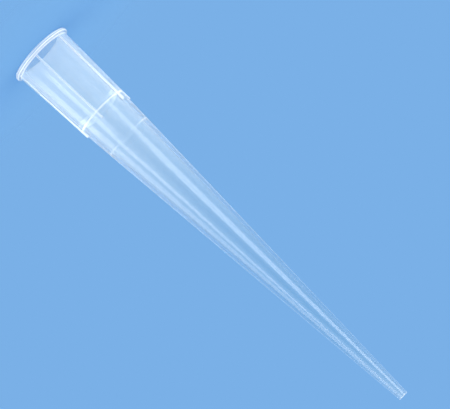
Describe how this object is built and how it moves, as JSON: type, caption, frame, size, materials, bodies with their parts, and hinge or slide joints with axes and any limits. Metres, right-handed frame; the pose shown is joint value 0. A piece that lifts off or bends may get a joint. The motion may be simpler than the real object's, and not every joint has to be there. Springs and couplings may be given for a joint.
{
  "type": "pipette tip",
  "caption": "Slender hollow cone with a fine orifice at one end and a ribbed, rimmed collar at the other that takes a pipette's nozzle.",
  "frame": {"origin": "centre of the mouth face, which the tip stands on", "axes": "+Z along the tip's axis, from the mouth to the fine end; +Y is the back, and one rib faces the front, -Y"},
  "size_m": [0.0072, 0.0072, 0.051],
  "materials": {
    "polypropylene": "clear natural polypropylene with a faint milky haze and a moulded gloss"
  },
  "bodies": {
    "root": {"pipette_tip": "polypropylene"}
  },
  "joints": []
}
